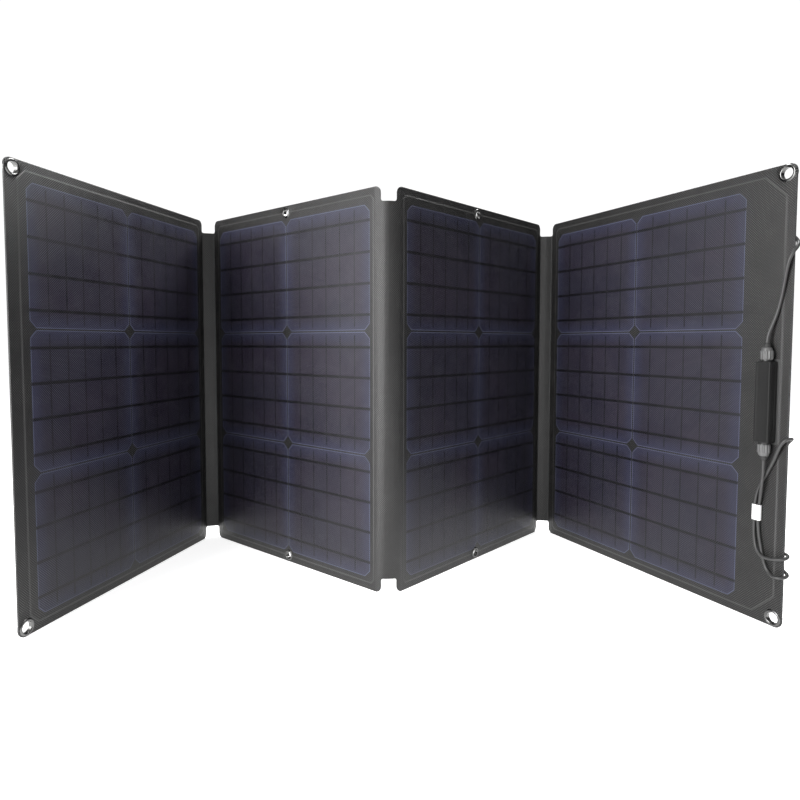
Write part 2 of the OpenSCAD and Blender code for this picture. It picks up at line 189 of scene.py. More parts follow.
# ---------------------------------------------------------------- frames of the panels
PANELS = (1, 2, 3, 4)
FOLDS = (1, 2, 3)
LEFT_CREASE = {2: "fold_1", 3: "fold_2_outer", 4: "fold_3_outer"}
RIGHT_CREASE = {1: "fold_1_outer", 2: "fold_2", 3: "fold_3"}
joint_at = {joint["name"]: Vector(joint["pos_m"]) for joint in frame["joints"]}
front_of = {int(mount["name"].split("_")[1]): Vector(mount["axis"]) for mount in record["mounts"]}
HALF_PANEL = (joint_at["fold_2"] - joint_at["fold_1"]).length / 2 / MM
WEB_W = (joint_at["fold_2_outer"] - joint_at["fold_2"]).length / MM


def ground(point):
    """The point straight below, on the floor."""
    return Vector((point.x, point.y, 0))


def run_of(panel):
    """Direction along a panel, from its left end to its right as the cells face the viewer."""
    front = front_of[panel]
    return Vector((-front.y, front.x, 0))


def origin_of(panel):
    """Middle of a panel's fold line, on the floor."""
    if panel in LEFT_CREASE:
        return ground(joint_at[LEFT_CREASE[panel]]) + run_of(panel) * HALF_PANEL * MM
    return ground(joint_at[RIGHT_CREASE[panel]]) - run_of(panel) * HALF_PANEL * MM


origin = {panel: origin_of(panel) for panel in PANELS}
heading = {panel: math.atan2(run_of(panel).y, run_of(panel).x) for panel in PANELS}
UNROLLED = {panel: (panel - 1) * (2 * HALF_PANEL + WEB_W) for panel in PANELS}


def on_panel(panel, x, v, z):
    """Points of a panel's frame, given in millimetres, as rows in the row frame in metres."""
    run = run_of(panel)
    front = front_of[panel]
    x, v, z = np.broadcast_arrays(np.asarray(x, float), v, z)
    return np.stack([
        origin[panel].x + (x * run.x + v * front.x) * MM,
        origin[panel].y + (x * run.y + v * front.y) * MM,
        z * MM,
    ], axis=-1)


def local_box(node, panel):
    """Lowest and highest (x, v, z) of a CAD node in a panel's frame, in millimetres."""
    mesh = frame["nodes"][node].data
    rows = np.zeros(len(mesh.vertices) * 3)
    mesh.vertices.foreach_get("co", rows)
    rows = rows.reshape(-1, 3) - np.array(origin[panel])
    local = np.stack([rows @ np.array(run_of(panel)), rows @ np.array(front_of[panel]), rows[:, 2]], -1)
    return local.min(0) / MM, local.max(0) / MM


# ---------------------------------------------------------------- camera
CAMERA_AT = (-0.02426, -0.82575, 0.31797)
CAMERA_DOWN = math.radians(3.08)
camera = bpy.data.objects.new("camera", bpy.data.cameras.new("camera"))
camera.location = CAMERA_AT
camera.rotation_euler = (math.pi / 2 - CAMERA_DOWN, 0, 0)
camera.data.lens = 27.465
camera.data.shift_x = 0.01966
camera.data.shift_y = -0.03099
camera.data.clip_start = 0.01
bpy.context.scene.collection.objects.link(camera)
bpy.context.scene.camera = camera

# ---------------------------------------------------------------- leads
LEAD_D = 0.0036
# Routes on panel 4 in metres: x along it, v ahead of its fold line, z up
INPUT_ROUTE = [
    (.195, -.0075, .436), (.198, -.0075, .436), (.2034, -.0075, .4346), (.209, -.007, .4306),
    (.2134, -.0046, .4254), (.2153, -.0004, .4206), (.2144, .0038, .4154), (.2114, .006, .4074),
    (.2084, .0058, .396), (.2056, .0046, .382), (.2024, .0039, .366), (.1988, .0044, .350),
    (.1952, .0062, .337), (.1928, .0082, .327), (.192, .0088, .320), (.192, .0088, .3155),
]
OUTPUT_ROUTE = [
    (.192, .0088, .1885), (.192, .0088, .184), (.192, .0089, .178), (.1918, .0088, .171),
    (.191, .0084, .163), (.1894, .0072, .153), (.1872, .005, .142), (.1854, .0037, .133),
    (.1846, .0036, .124), (.1848, .0036, .114), (.186, .0036, .102), (.1884, .0036, .089),
    (.1912, .0036, .077), (.1946, .0037, .067), (.199, .0046, .0614), (.2036, .0062, .059),
    (.2082, .0069, .0586), (.2133, .0048, .0592), (.2154, -.0003, .0604), (.2133, -.0054, .0618),
    (.2084, -.0072, .064), (.2042, -.0064, .0686), (.202, -.005, .076), (.201, -.0043, .087),
    (.2006, -.0042, .105), (.2006, -.0042, .130), (.2008, -.0042, .155), (.2012, -.0044, .174),
    (.2022, -.0052, .188), (.2046, -.0066, .1996), (.2086, -.0072, .2074), (.2133, -.0052, .2118),
    (.2154, -.0003, .213), (.2133, .0048, .2118), (.209, .0064, .2066), (.205, .0056, .198),
    (.2004, .0044, .187), (.1944, .0036, .1746), (.1882, .0036, .162), (.1832, .0036, .1496),
    (.1808, .0036, .137), (.1804, .0036, .124), (.1802, .0036, .112), (.1806, .0038, .1006),
    (.1828, .0048, .090), (.187, .0065, .082), (.193, .0077, .078), (.200, .0076, .0774),
    (.2076, .007, .0784), (.2132, .0048, .080), (.2154, -.0003, .0814), (.2133, -.0054, .0826),
    (.2084, -.0084, .0828), (.203, -.0092, .081), (.1986, -.0092, .077), (.1956, -.009, .0706),
    (.1944, -.0088, .0626), (.1944, -.0088, .055),
]


def lead(name, route):
    """A round lead along a route on panel 4."""
    x, v, z = np.array(route).T / MM
    curve = bpy.data.curves.new(name, "CURVE")
    curve.dimensions = "3D"
    curve.resolution_u = 6
    curve.bevel_depth = LEAD_D / 2
    curve.bevel_resolution = 5
    curve.use_fill_caps = True
    spline = curve.splines.new("BEZIER")
    spline.bezier_points.add(len(route) - 1)
    for point, place in zip(spline.bezier_points, on_panel(4, x, v, z)):
        point.co = place
        point.handle_left_type = "AUTO"
        point.handle_right_type = "AUTO"
    piece = bpy.data.objects.new(name, curve)
    bpy.context.scene.collection.objects.link(piece)
    return piece


input_cord = lead("input_cord", INPUT_ROUTE)
output_cord = lead("output_cord", OUTPUT_ROUTE)

# ---------------------------------------------------------------- material graphs


class Graph:
    """A material with one Principled shader and short calls for the nodes that feed it."""

    def __init__(self, name, **constants):
        self.material = bpy.data.materials.new(name)
        self.material.use_nodes = True
        self.tree = self.material.node_tree
        self.tree.nodes.clear()
        self.shader = self.node("ShaderNodeBsdfPrincipled")
        output = self.node("ShaderNodeOutputMaterial")
        self.tree.links.new(self.shader.outputs[0], output.inputs["Surface"])
        for socket, value in constants.items():
            self.shader.inputs[socket.replace("_", " ")].default_value = value

    def node(self, kind, inputs=(), **settings):
        """A new node; each input is a constant or another node's output."""
        made = self.tree.nodes.new(kind)
        for setting, value in settings.items():
            setattr(made, setting, value)
        for socket, value in dict(inputs).items():
            self.put(made.inputs[socket], value)
        return made

    def put(self, socket, value):
        if isinstance(value, bpy.types.NodeSocket):
            self.tree.links.new(value, socket)
        else:
            socket.default_value = value

    def set(self, socket, value):
        self.put(self.shader.inputs[socket], value)

    def math(self, operation, *values):
        return self.node("ShaderNodeMath", enumerate(values), operation=operation).outputs[0]

    def step(self, value, low, high, to_low=0.0, to_high=1.0):
        """to_low up to the value low, to_high from the value high on, and a smooth change between."""
        values = {"Value": value, "From Min": low, "From Max": high, "To Min": to_low, "To Max": to_high}
        return self.node("ShaderNodeMapRange", values, interpolation_type="SMOOTHSTEP").outputs[0]

    def mix(self, factor, low, high):
        made = self.node("ShaderNodeMix", data_type="RGBA")
        for socket, value in zip((made.inputs[0], made.inputs[6], made.inputs[7]), (factor, low, high)):
            self.put(socket, value)
        return made.outputs[2]

    def flat(self):
        """Place on the unrolled blanket, in metres."""
        return self.node("ShaderNodeAttribute", attribute_name="flat").outputs["Vector"]

    def painted_highlight(self):
        """Share of the painted highlight along the edge of the board that the laminate is pressed over, from 0 to 1.
        """
        return self.node("ShaderNodeAttribute", attribute_name="painted_highlight").outputs["Fac"]

    def local(self, panel):
        """Place in a panel's frame, in metres."""
        place = self.node("ShaderNodeTexCoord").outputs["Object"]
        turned = {"Vector": place, "Location": origin[panel], "Rotation": (0, 0, heading[panel])}
        return self.node("ShaderNodeMapping", turned, vector_type="TEXTURE").outputs[0]

    def split(self, vector):
        return self.node("ShaderNodeSeparateXYZ", {0: vector}).outputs

    def noise(self, vector, scale, detail=2.0, roughness=0.5):
        values = {"Vector": vector, "Scale": scale, "Detail": detail, "Roughness": roughness}
        return self.node("ShaderNodeTexNoise", values).outputs[0]

    def bump(self, height, distance, strength=1.0, under=None):
        values = {"Height": height, "Distance": distance, "Strength": strength}
        if under is not None:
            values["Normal"] = under
        return self.node("ShaderNodeBump", values).outputs[0]

    def ripple(self, value, pitch):
        """Cosine of a coordinate in metres, one wave for each pitch in metres."""
        return self.math("COSINE", self.math("MULTIPLY", value, 2 * math.pi / pitch))


def grey(level, tint=(1, 1, 1)):
    return (level * tint[0], level * tint[1], level * tint[2], 1)


CELL = 156.75 * MM
CELL_GAP = 2 * MM
CELL_PITCH = CELL + CELL_GAP
INGOT_R = 105 * MM
CELLS_Z = 253 * MM
GRID_PITCH = CELL / 6
RIBBONS = 4
# Half-widths in metres: full out to the first, gone at the second
OUTLINE_W = (0.0006, 0.0013)
GRID_W = (0.0005, 0.0017)
# The ribbons' dark line, spread into a soft band of painted shade
RIBBON_SHADE_W = (0.0010, 0.0026)
GLOW_W = (0.001, 0.020)
DOT_PITCH = 0.0028
DOT_DEPTH = 0.00016
FILM_IOR = 1.38
FOLD_IOR = 1.45
CHARCOAL = grey(0.0025)
# Painted sheen on the tops of the film's embossed dots; the film's random pale specks take this colour too
DOT_SHEEN = grey(0.078, (1, 0.98, 0.97))
# Colour and share of the painted highlight along the board's edge
EDGE_HIGHLIGHT = grey(0.11)
HIGHLIGHT_SHARE = 0.26
CELL_DARK = (0.0055, 0.0050, 0.0125, 1)
CELL_WARM = (0.0085, 0.0055, 0.0135, 1)
CELL_EDGE = (0.0120, 0.0130, 0.0310, 1)
CELL_LINE = (0.085, 0.095, 0.155, 1)
# Colour of the grid lines and of the painted shade round the ribbons
CELL_MARK_AND_SHADE = (0.0012, 0.0012, 0.0018, 1)
# Painted sheen on the embossed dots where they lie over the cells
CELL_DOT_SHEEN = (0.070, 0.067, 0.080, 1)


def cell_print(g, place, x, z):
    """(colour, share of cell, share of dark grid lines and painted shade) of the wafers at x and z of a panel, in
    metres.

    Dark middle, bluish soft edges, a pale outline, fine grid lines, and the ribbons' dark lines spread into soft bands
    of painted shade.
    """
    shifted = g.math("ADD", x, CELL_PITCH)
    ux = g.math("SUBTRACT", g.math("FLOORED_MODULO", shifted, CELL_PITCH), CELL_PITCH / 2)
    lifted = g.math("ADD", z, 1.5 * CELL_PITCH - CELLS_Z)
    uz = g.math("SUBTRACT", g.math("FLOORED_MODULO", lifted, CELL_PITCH), CELL_PITCH / 2)
    reach = g.math("MAXIMUM", g.math("ABSOLUTE", ux), g.math("ABSOLUTE", uz))
    radius = g.math("SQRT", g.math("ADD", g.math("MULTIPLY", ux, ux), g.math("MULTIPLY", uz, uz)))
    inside = g.math("MINIMUM", g.math("SUBTRACT", CELL / 2, reach), g.math("SUBTRACT", INGOT_R, radius))
    past_x = g.math("SUBTRACT", g.math("ABSOLUTE", x), CELL_PITCH)
    past_z = g.math("SUBTRACT", g.math("ABSOLUTE", g.math("SUBTRACT", z, CELLS_Z)), 1.5 * CELL_PITCH)
    inside = g.math("MINIMUM", inside, g.math("MULTIPLY", g.math("MAXIMUM", past_x, past_z), -1))
    cloud = g.noise(place, 9, 3)
    middle = g.mix(g.step(cloud, 0.35, 0.7), CELL_DARK, CELL_WARM)
    base = g.mix(g.step(inside, *GLOW_W, 0.9, 0), middle, CELL_EDGE)
    base = g.mix(g.step(inside, *OUTLINE_W, 0.6, 0), base, CELL_LINE)
    beside = g.math("FLOORED_MODULO", g.math("ADD", ux, CELL / 2 + GRID_PITCH / 2), GRID_PITCH)
    from_line = g.math("ABSOLUTE", g.math("SUBTRACT", beside, GRID_PITCH / 2))
    up = g.math("FLOORED_MODULO", g.math("ADD", uz, CELL / 2), CELL / RIBBONS)
    from_bar = g.math("ABSOLUTE", g.math("SUBTRACT", up, CELL / RIBBONS / 2))
    grid = g.math("MULTIPLY", g.step(from_line, *GRID_W, 0.85, 0), g.step(inside, 0.002, 0.006))
    # Painted shade: a soft dark band round each ribbon, wider than the ribbon itself
    ribbon_shade = g.step(from_bar, *RIBBON_SHADE_W, 0.95, 0)
    share = g.step(inside, -0.0002, 0.0004)
    lines_and_shade = g.math("MULTIPLY", g.math("MAXIMUM", grid, ribbon_shade), share)
    return g.mix(lines_and_shade, base, CELL_MARK_AND_SHADE), share, lines_and_shade


def film_material(name, with_cells, ior):
    """Embossed front laminate: staggered dots whose tops are painted pale as a painted sheen, with the cells showing
    where they lie.
    """
    g = Graph(name, IOR=ior)
    place = g.flat()
    u, _, z = g.split(place)
    dots = g.math("MULTIPLY", g.ripple(u, DOT_PITCH), g.ripple(z, DOT_PITCH))
    cloud = g.noise(place, 14, 3)
    dust = g.noise(place, 900, 2)
    # Painted sheen: the tops of the embossed dots are painted pale
    lit = g.math("MULTIPLY", g.step(dots, 0.2, 0.9), g.step(cloud, 0.2, 0.8, 0.75, 1.0))
    pale = DOT_SHEEN
    base = g.mix(g.step(dust, 0.35, 0.75, 0, 0.05), CHARCOAL, pale)
    if with_cells:
        repeat = (2 * HALF_PANEL + WEB_W) * MM
        wrapped = g.math("FLOORED_MODULO", g.math("ADD", u, repeat / 2), repeat)
        colour, share, lines_and_shade = cell_print(g, place, g.math("SUBTRACT", wrapped, repeat / 2), z)
        base = g.mix(share, base, colour)
        pale = g.mix(share, pale, CELL_DOT_SHEEN)
        # Less painted sheen on the dots over the grid lines and the painted shade at the ribbons
        lit = g.math("MULTIPLY", lit, g.step(lines_and_shade, 0, 1, 1, 0.3))
    # Painted highlight: a paler band where the laminate runs over the board's edge
    base = g.mix(g.math("MULTIPLY", g.painted_highlight(), HIGHLIGHT_SHARE), base, EDGE_HIGHLIGHT)
    g.set("Base Color", g.mix(lit, base, pale))
    uneven = g.step(cloud, 0.3, 0.7, -0.03, 0.03)
    g.set("Roughness", g.math("ADD", g.step(dots, -1, 1, 0.40, 0.27), uneven))
    g.set("Normal", g.bump(dots, DOT_DEPTH))
    return g.material


film_over_cells = film_material("embossed_film", True, FILM_IOR)
film_of_folds = film_material("embossed_film_fold", False, FOLD_IOR)


def cloth_material(name, dark, pale, pitch=0.0009):
    """Plain-woven 600 denier cover cloth, its yarns crossing over and under."""
    g = Graph(name, Sheen_Weight=0.06, Sheen_Roughness=0.5)
    x, _, z = g.split(g.flat())
    warp = g.ripple(x, pitch)
    weft = g.ripple(z, pitch)
    over = g.math("MULTIPLY", g.ripple(x, 2 * pitch), g.ripple(z, 2 * pitch))
    weave = g.math("ADD", g.math("MULTIPLY", over, 0.5), g.math("MAXIMUM", warp, weft))
    cloud = g.noise(g.flat(), 22, 4)
    lint = g.noise(g.flat(), 1500, 2)
    base = g.mix(g.step(weave, -0.6, 1.4), dark, pale)
    g.set("Base Color", g.mix(g.step(cloud, 0.3, 0.75, 0, 0.35), base, pale))
    g.set("Roughness", g.step(lint, 0.3, 0.7, 0.72, 0.9))
    g.set("Normal", g.bump(weave, 0.00018, 0.8))
    return g.material


cover_material = cloth_material("cover_cloth", grey(0.008), grey(0.045))


def cell_material(panel):
    """The wafers themselves, under the film."""
    g = Graph(f"cells_panel_{panel}", IOR=1.5, Coat_Weight=0.3, Coat_Roughness=0.25)
    place = g.local(panel)
    x, _, z = g.split(place)
    colour, _, _ = cell_print(g, place, x, z)
    g.set("Base Color", colour)
    g.set("Roughness", g.step(g.noise(place, 40), 0.3, 0.7, 0.28, 0.36))
    g.set("Normal", g.bump(g.ripple(x, 0.0017), 0.00001, 0.3))
    return g.material


def simple(name, panel, dark, pale, roughness=(0.4, 0.55), metallic=0.0, grain=900, depth=0.00004,
           streak=(1, 1, 1), **constants):
    """Moulded, turned or cast finish: colour cloud, grain and a fine bump in a panel's frame."""
    g = Graph(name, Metallic=metallic, **constants)
    place = g.node("ShaderNodeMapping", {"Vector": g.local(panel), "Scale": streak}).outputs[0]
    cloud = g.noise(place, 60, 3)
    fine = g.noise(place, grain, 3, 0.6)
    g.set("Base Color", g.mix(g.math("MULTIPLY", g.math("ADD", cloud, fine), 0.5), dark, pale))
    g.set("Roughness", g.step(fine, 0.3, 0.7, *roughness))
    g.set("Normal", g.bump(fine, depth, 0.6))
    return g.material


def paint(node, material):
    """Gives a carried-over CAD node a new material."""
    mesh = frame["nodes"][node].data
    mesh.materials.clear()
    mesh.materials.append(material)
    for polygon in mesh.polygons:
        polygon.material_index = 0


# ---------------------------------------------------------------- outlines in a sheet's plane


def arc(x, z, radius, start, end, steps=8):
    angles = np.radians(np.linspace(start, end, steps + 1))
    return [(x + radius * math.cos(a), z + radius * math.sin(a)) for a in angles]


def filled(points, step=8.0):
    """A line with points added so that no gap is longer than step."""
    line = [np.array(points[0], float)]
    for point in points[1:]:
        gap = np.array(point, float) - line[-1]
        parts = max(1, math.ceil(np.hypot(*gap) / step))
        start = line[-1]
        line += [start + gap * n / parts for n in range(1, parts + 1)]
    return np.array(line)


def inset(line, distance, closed=False):
    """The line moved to its left by distance, with mitred corners."""
    steps = np.diff(np.vstack([line, line[:1]]) if closed else line, axis=0)
    left = np.stack([-steps[:, 1], steps[:, 0]], -1) / np.hypot(*steps.T)[:, None]
    if closed:
        before, after = np.roll(left, 1, 0), left
    else:
        before, after = np.vstack([left[:1], left]), np.vstack([left, left[-1:]])
    mitre = before + after
    return line + distance * 2 * mitre / (mitre ** 2).sum(1)[:, None]


def circle(x, z, radius, steps=48):
    angles = np.arange(steps) * 2 * math.pi / steps
    return np.stack([x + radius * np.cos(angles), z + radius * np.sin(angles)], -1)


def from_lines(points, starts, ends):
    """Distance from each point to the nearest of some line pieces."""
    step = ends - starts
    offset = points[:, None] - starts[None]
    share = np.clip((offset * step).sum(-1) / (step ** 2).sum(-1), 0, 1)
    return np.hypot(*np.moveaxis(offset - share[..., None] * step, -1, 0)).min(1)


def within(points, outline):
    """Whether each point lies inside a closed outline."""
    a, b = outline, np.roll(outline, -1, 0)
    crosses = (a[:, 1] > points[:, None, 1]) != (b[:, 1] > points[:, None, 1])
    rise = np.where(b[:, 1] == a[:, 1], 1, b[:, 1] - a[:, 1])
    at = a[:, 0] + (points[:, None, 1] - a[:, 1]) * (b[:, 0] - a[:, 0]) / rise
    return (crosses & (points[:, None, 0] < at)).sum(1) % 2 == 1


def smooth(share):
    share = np.clip(share, 0, 1)
    return share * share * (3 - 2 * share)


# ---------------------------------------------------------------- sheets
EDGE_INSETS = (0.4, 0.8, 1.4)
CLEAR_OF_EDGE = 2.5
FILM_THINNING = 0.45
COVER_THINNING = 0.18


class Sheet:
    """A flat region cut into triangles once, from which closed layers are made."""

    def __init__(self, edges, loops=(), holes=(), points=()):
        self.edges = edges
        self.holes = holes
        self.outline = np.vstack(edges)
        lines = [(self.outline, True)]
        lines += [(inset(edge, distance), False) for edge in edges for distance in EDGE_INSETS]
        lines += [(loop, True) for loop in loops]
        coords, ties = [], []
        for line, closed in lines:
            first = len(coords)
            coords += [tuple(point) for point in line]
            ties += [(n, n + 1) for n in range(first, len(coords) - 1)]
            if closed:
                ties.append((len(coords) - 1, first))
        clear = from_lines(points, self.outline, np.roll(self.outline, -1, 0)) > CLEAR_OF_EDGE
        coords += [tuple(point) for point in points[within(points, self.outline) & clear]]
        cut = delaunay_2d_cdt([Vector(c) for c in coords], ties, [], 0, 1e-4, False)
        spots = np.array([tuple(point) for point in cut[0]])
        faces = np.array([face for face in cut[2] if len(face) == 3])
        middles = spots[faces].mean(1)
        keep = within(middles, self.outline)
        for x, z, radius in holes:
            keep &= np.hypot(middles[:, 0] - x, middles[:, 1] - z) > radius * 0.999
        used, faces = np.unique(faces[keep], return_inverse=True)
        self.faces = faces.reshape(-1, 3)
        self.spots = spots[used]
        starts = np.vstack([edge[:-1] for edge in edges])
        ends = np.vstack([edge[1:] for edge in edges])
        self.from_edge = from_lines(self.spots, starts, ends)

    def layer(self, name, front, back, place, unrolled, materials,
              thin_front=0.0, thin_back=0.0, painted_highlight=None):
        """A closed layer between the depths front and back, thinner at its free edges.

        The first material is for its front face, the second for its back and rim.
        """
        x, z = self.spots.T
        eased = smooth(1 - self.from_edge / EDGE_INSETS[1]) * (front - back)
        front_rows = place(x, front - thin_front * eased, z)
        rows = np.vstack([front_rows, place(x, back + thin_back * eased, z)])
        count = len(self.spots)
        sides = {}
        for a, b, c in self.faces:
            for pair in ((a, b), (b, c), (c, a)):
                sides[frozenset(pair)] = None if frozenset(pair) in sides else pair
        rim = [pair for pair in sides.values() if pair]
        faces = [tuple(face) for face in self.faces]
        faces += [tuple(face[::-1] + count) for face in self.faces]
        faces += [(b, a, a + count, b + count) for a, b in rim]
        kinds = [0] * len(self.faces) + [1] * (len(faces) - len(self.faces))
        piece = solid(name, rows, faces, materials, kinds)
        flat = np.stack([x + unrolled, x * 0, z], -1) * MM
        attribute = piece.data.attributes.new("flat", "FLOAT_VECTOR", "POINT")
        attribute.data.foreach_set("vector", np.vstack([flat, flat]).ravel())
        # Share of the painted highlight along the board's edge, kept as a point attribute
        if painted_highlight is not None:
            attribute = piece.data.attributes.new("painted_highlight", "FLOAT", "POINT")
            attribute.data.foreach_set("value", np.concatenate([painted_highlight, painted_highlight]))
        return piece


def solid(name, rows, faces, materials, kinds=None, sharp=40):
    """A closed mesh object, its normals turned outwards, smooth but for sharp corners."""
    mesh = bpy.data.meshes.new(name)
    mesh.from_pydata([tuple(row) for row in rows], [], [tuple(int(n) for n in face) for face in faces])
    for material in materials:
        mesh.materials.append(material)
    if kinds is not None:
        mesh.polygons.foreach_set("material_index", kinds)
    shape = bmesh.new()
    shape.from_mesh(mesh)
    bmesh.ops.recalc_face_normals(shape, faces=shape.faces)
    shape.to_mesh(mesh)
    shape.free()
    mesh.polygons.foreach_set("use_smooth", [True] * len(mesh.polygons))
    mesh.set_sharp_from_angle(angle=math.radians(sharp))
    piece = bpy.data.objects.new(name, mesh)
    bpy.context.scene.collection.objects.link(piece)
    return piece


SHEET_H = local_box("panel_2_front_film", 2)[1][2]
CORNER_R = 8
SEAM_IN = 10
GRID_STEP = 12
LINER_T = 0.7
RIM_RAMP = 1.5
RIM_R = {1: 9.25, 2: 7.5, 3: 7.5, 4: 9.25}
# Cut of the board's left and right corners, and the loops of points round its edge
BOARD_CUT = {1: (10, 4), 2: (4, 4), 3: (4, 4), 4: (4, 24)}
BOARD_RAMP = 2.4
BOARD_LOOPS = (-0.6, 0, 0.1, 0.4, 1.2, BOARD_RAMP, 3.2)
# Painted highlight: the film is painted paler in a band where it is pressed over the board's edge, for the light
# caught along that ridge
HIGHLIGHT_AT = 0.9
HIGHLIGHT_W = 1.6
# The sheet is even this close to its seams and to the grommets' rims
CALM_BY_SEAM = 30
CALM_BY_RIM = 14
# Depths of the faces of a panel's film and cover, off the board and over it
SLAB = {"film_border": 0.9, "film_board": 1.4, "film_back": 0.45, "film_back_board": 0.9,
        "cover_front": 0.4, "cover_front_board": -1.42, "cover_border": -1.6, "cover_board": -2.0}


def panel_ends(panel):
    """Left and right ends of a panel's own sheet."""
    low, high = local_box(f"panel_{panel}_front_film", panel)
    left = low[0] if panel == 1 else SEAM_IN - HALF_PANEL
    right = high[0] if panel == 4 else HALF_PANEL - SEAM_IN
    return left, right


def panel_edges(panel):
    """Free edges of a panel's sheet, each with the sheet on its left."""
    left, right = panel_ends(panel)
    top = SHEET_H
    r = CORNER_R
    if panel == 1:
        corners = arc(left + r, top - r, r, 90, 180) + arc(left + r, r, r, 180, 270)
        return [filled([(right, top), *corners, (right, 0)])]
    if panel == 4:
        corners = arc(right - r, r, r, -90, 0) + arc(right - r, top - r, r, 0, 90)
        return [filled([(left, 0), *corners, (left, top)])]
    return [filled([(left, 0), (right, 0)]), filled([(right, top), (left, top)])]


def board_outline(panel):
    """Closed outline of the stiffening board, its corners cut."""
    low, high = local_box(f"panel_{panel}_board", panel)
    x0, x1, z0, z1 = low[0], high[0], low[2], high[2]
    a, b = BOARD_CUT[panel]
    corners = [(x0 + a, z0), (x1 - b, z0), (x1, z0 + b), (x1, z1 - b),
               (x1 - b, z1), (x0 + a, z1), (x0, z1 - a), (x0, z0 + a), (x0 + a, z0)]
    return filled(corners)[:-1]


def panel_holes(panel):
    """(x, z, hole radius) of the grommet or eyelet liners of a panel."""
    holes = []
    for mount in record["mounts"]:
        if mount["name"].startswith(f"panel_{panel}_"):
            place = Vector(mount["pos_m"])
            x = (place - origin[panel]).dot(run_of(panel)) / MM
            holes.append((x, place.z / MM, mount["dims"]["r_mm"] + LINER_T))
    return holes


def waves(panel, x, z):
    """Slow unevenness of a laminated panel, from -1 to 1."""
    a = np.sin(x / 34 + panel * 1.7) * np.sin(z / 47 + panel * 2.3)
    b = np.sin((x + z) / 61 + panel * 0.9) * np.cos((x - 1.4 * z) / 83 + panel)
    return 0.5 * a + 0.5 * b


def make_panel(panel):
    """Front laminate and back cover of a panel."""
    holes = panel_holes(panel)
    board = board_outline(panel)
    left, right = panel_ends(panel)
    loops = [inset(board, -distance, True) for distance in BOARD_LOOPS]
    for x, z, radius in holes:
        loops += [circle(x, z, ring) for ring in (radius, RIM_R[panel], RIM_R[panel] + RIM_RAMP)]
    xs = np.arange(left + GRID_STEP / 2, right, GRID_STEP)
    zs = np.arange(GRID_STEP / 2, SHEET_H, GRID_STEP)
    grid = np.stack(np.meshgrid(xs, zs), -1).reshape(-1, 2)
    sheet = Sheet(panel_edges(panel), loops, holes, grid)
    x, z = sheet.spots.T
    outside = from_lines(sheet.spots, board, np.roll(board, -1, 0))
    outside = np.where(within(sheet.spots, board), -outside, outside)
    from_rim = np.min([np.hypot(x - hx, z - hz) for hx, hz, _ in holes], 0) - RIM_R[panel]
    lift = np.maximum(smooth(1 - outside / BOARD_RAMP), smooth(1 - from_rim / RIM_RAMP))
    seams = [end for end, free in ((left, panel == 1), (right, panel == 4)) if not free]
    calm = [smooth(np.abs(x - seam) / CALM_BY_SEAM) for seam in seams] + [smooth(from_rim / CALM_BY_RIM)]
    uneven = waves(panel, x, z) * np.min(calm, 0)

    def level(border, board_level, share):
        return border + (board_level - border) * share

    film_front = level(SLAB["film_border"], SLAB["film_board"], lift) + 0.2 * uneven
    film_back = level(SLAB["film_back"], SLAB["film_back_board"], lift)
    sunk = smooth(1 - (outside - 0.1) / 0.3)
    cover_front = level(SLAB["cover_front"], SLAB["cover_front_board"], sunk)
    cover_back = level(SLAB["cover_border"], SLAB["cover_board"], lift) + 0.12 * np.minimum(uneven, 0.4)

    def place(px, pv, pz):
        return on_panel(panel, px, pv, pz)

    # Share of the painted highlight, in a band along the board's edge
    edge_highlight = smooth(1 - np.abs(outside - HIGHLIGHT_AT) / HIGHLIGHT_W)
    film = sheet.layer(f"panel_{panel}_laminate", film_front, film_back, place, UNROLLED[panel],
                       [film_over_cells, film_of_folds], thin_front=FILM_THINNING, painted_highlight=edge_highlight)
    cover = sheet.layer(f"panel_{panel}_cover", cover_front, cover_back, place, UNROLLED[panel],
                        [cover_material, cover_material], thin_back=COVER_THINNING)
    for piece, node, slot in ((film, "front_film", "laminate"), (cover, "back_cover", "cover_cloth")):
        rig.ride(piece, f"panel_{panel}")
        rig.replaces(piece, f"panel_{panel}_{node}")
        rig.slot(piece, slot)


for panel in PANELS:
    make_panel(panel)

# ---------------------------------------------------------------- fold strips
NOTCH_D = local_box("fold_1_front_web", 2)[0][2]
HINGE_GAP = 1.2
FILLET_R = 3.5
# Reach of each fold's rounded corners, and how far its middle stands out
CREASE_LEG = {1: 2.0, 2: 8.0, 3: 2.0}
BULGE = {1: 1.0, 2: 0.25, 3: 1.0}
LINK_W = 6
LINK_T = 0.14
# Depths of the faces of a fold's film and lining between its hinge lines
STRIP = {"film_front": 0.3, "film_back": 0.17, "cover_front": -0.02, "cover_back": -0.8}


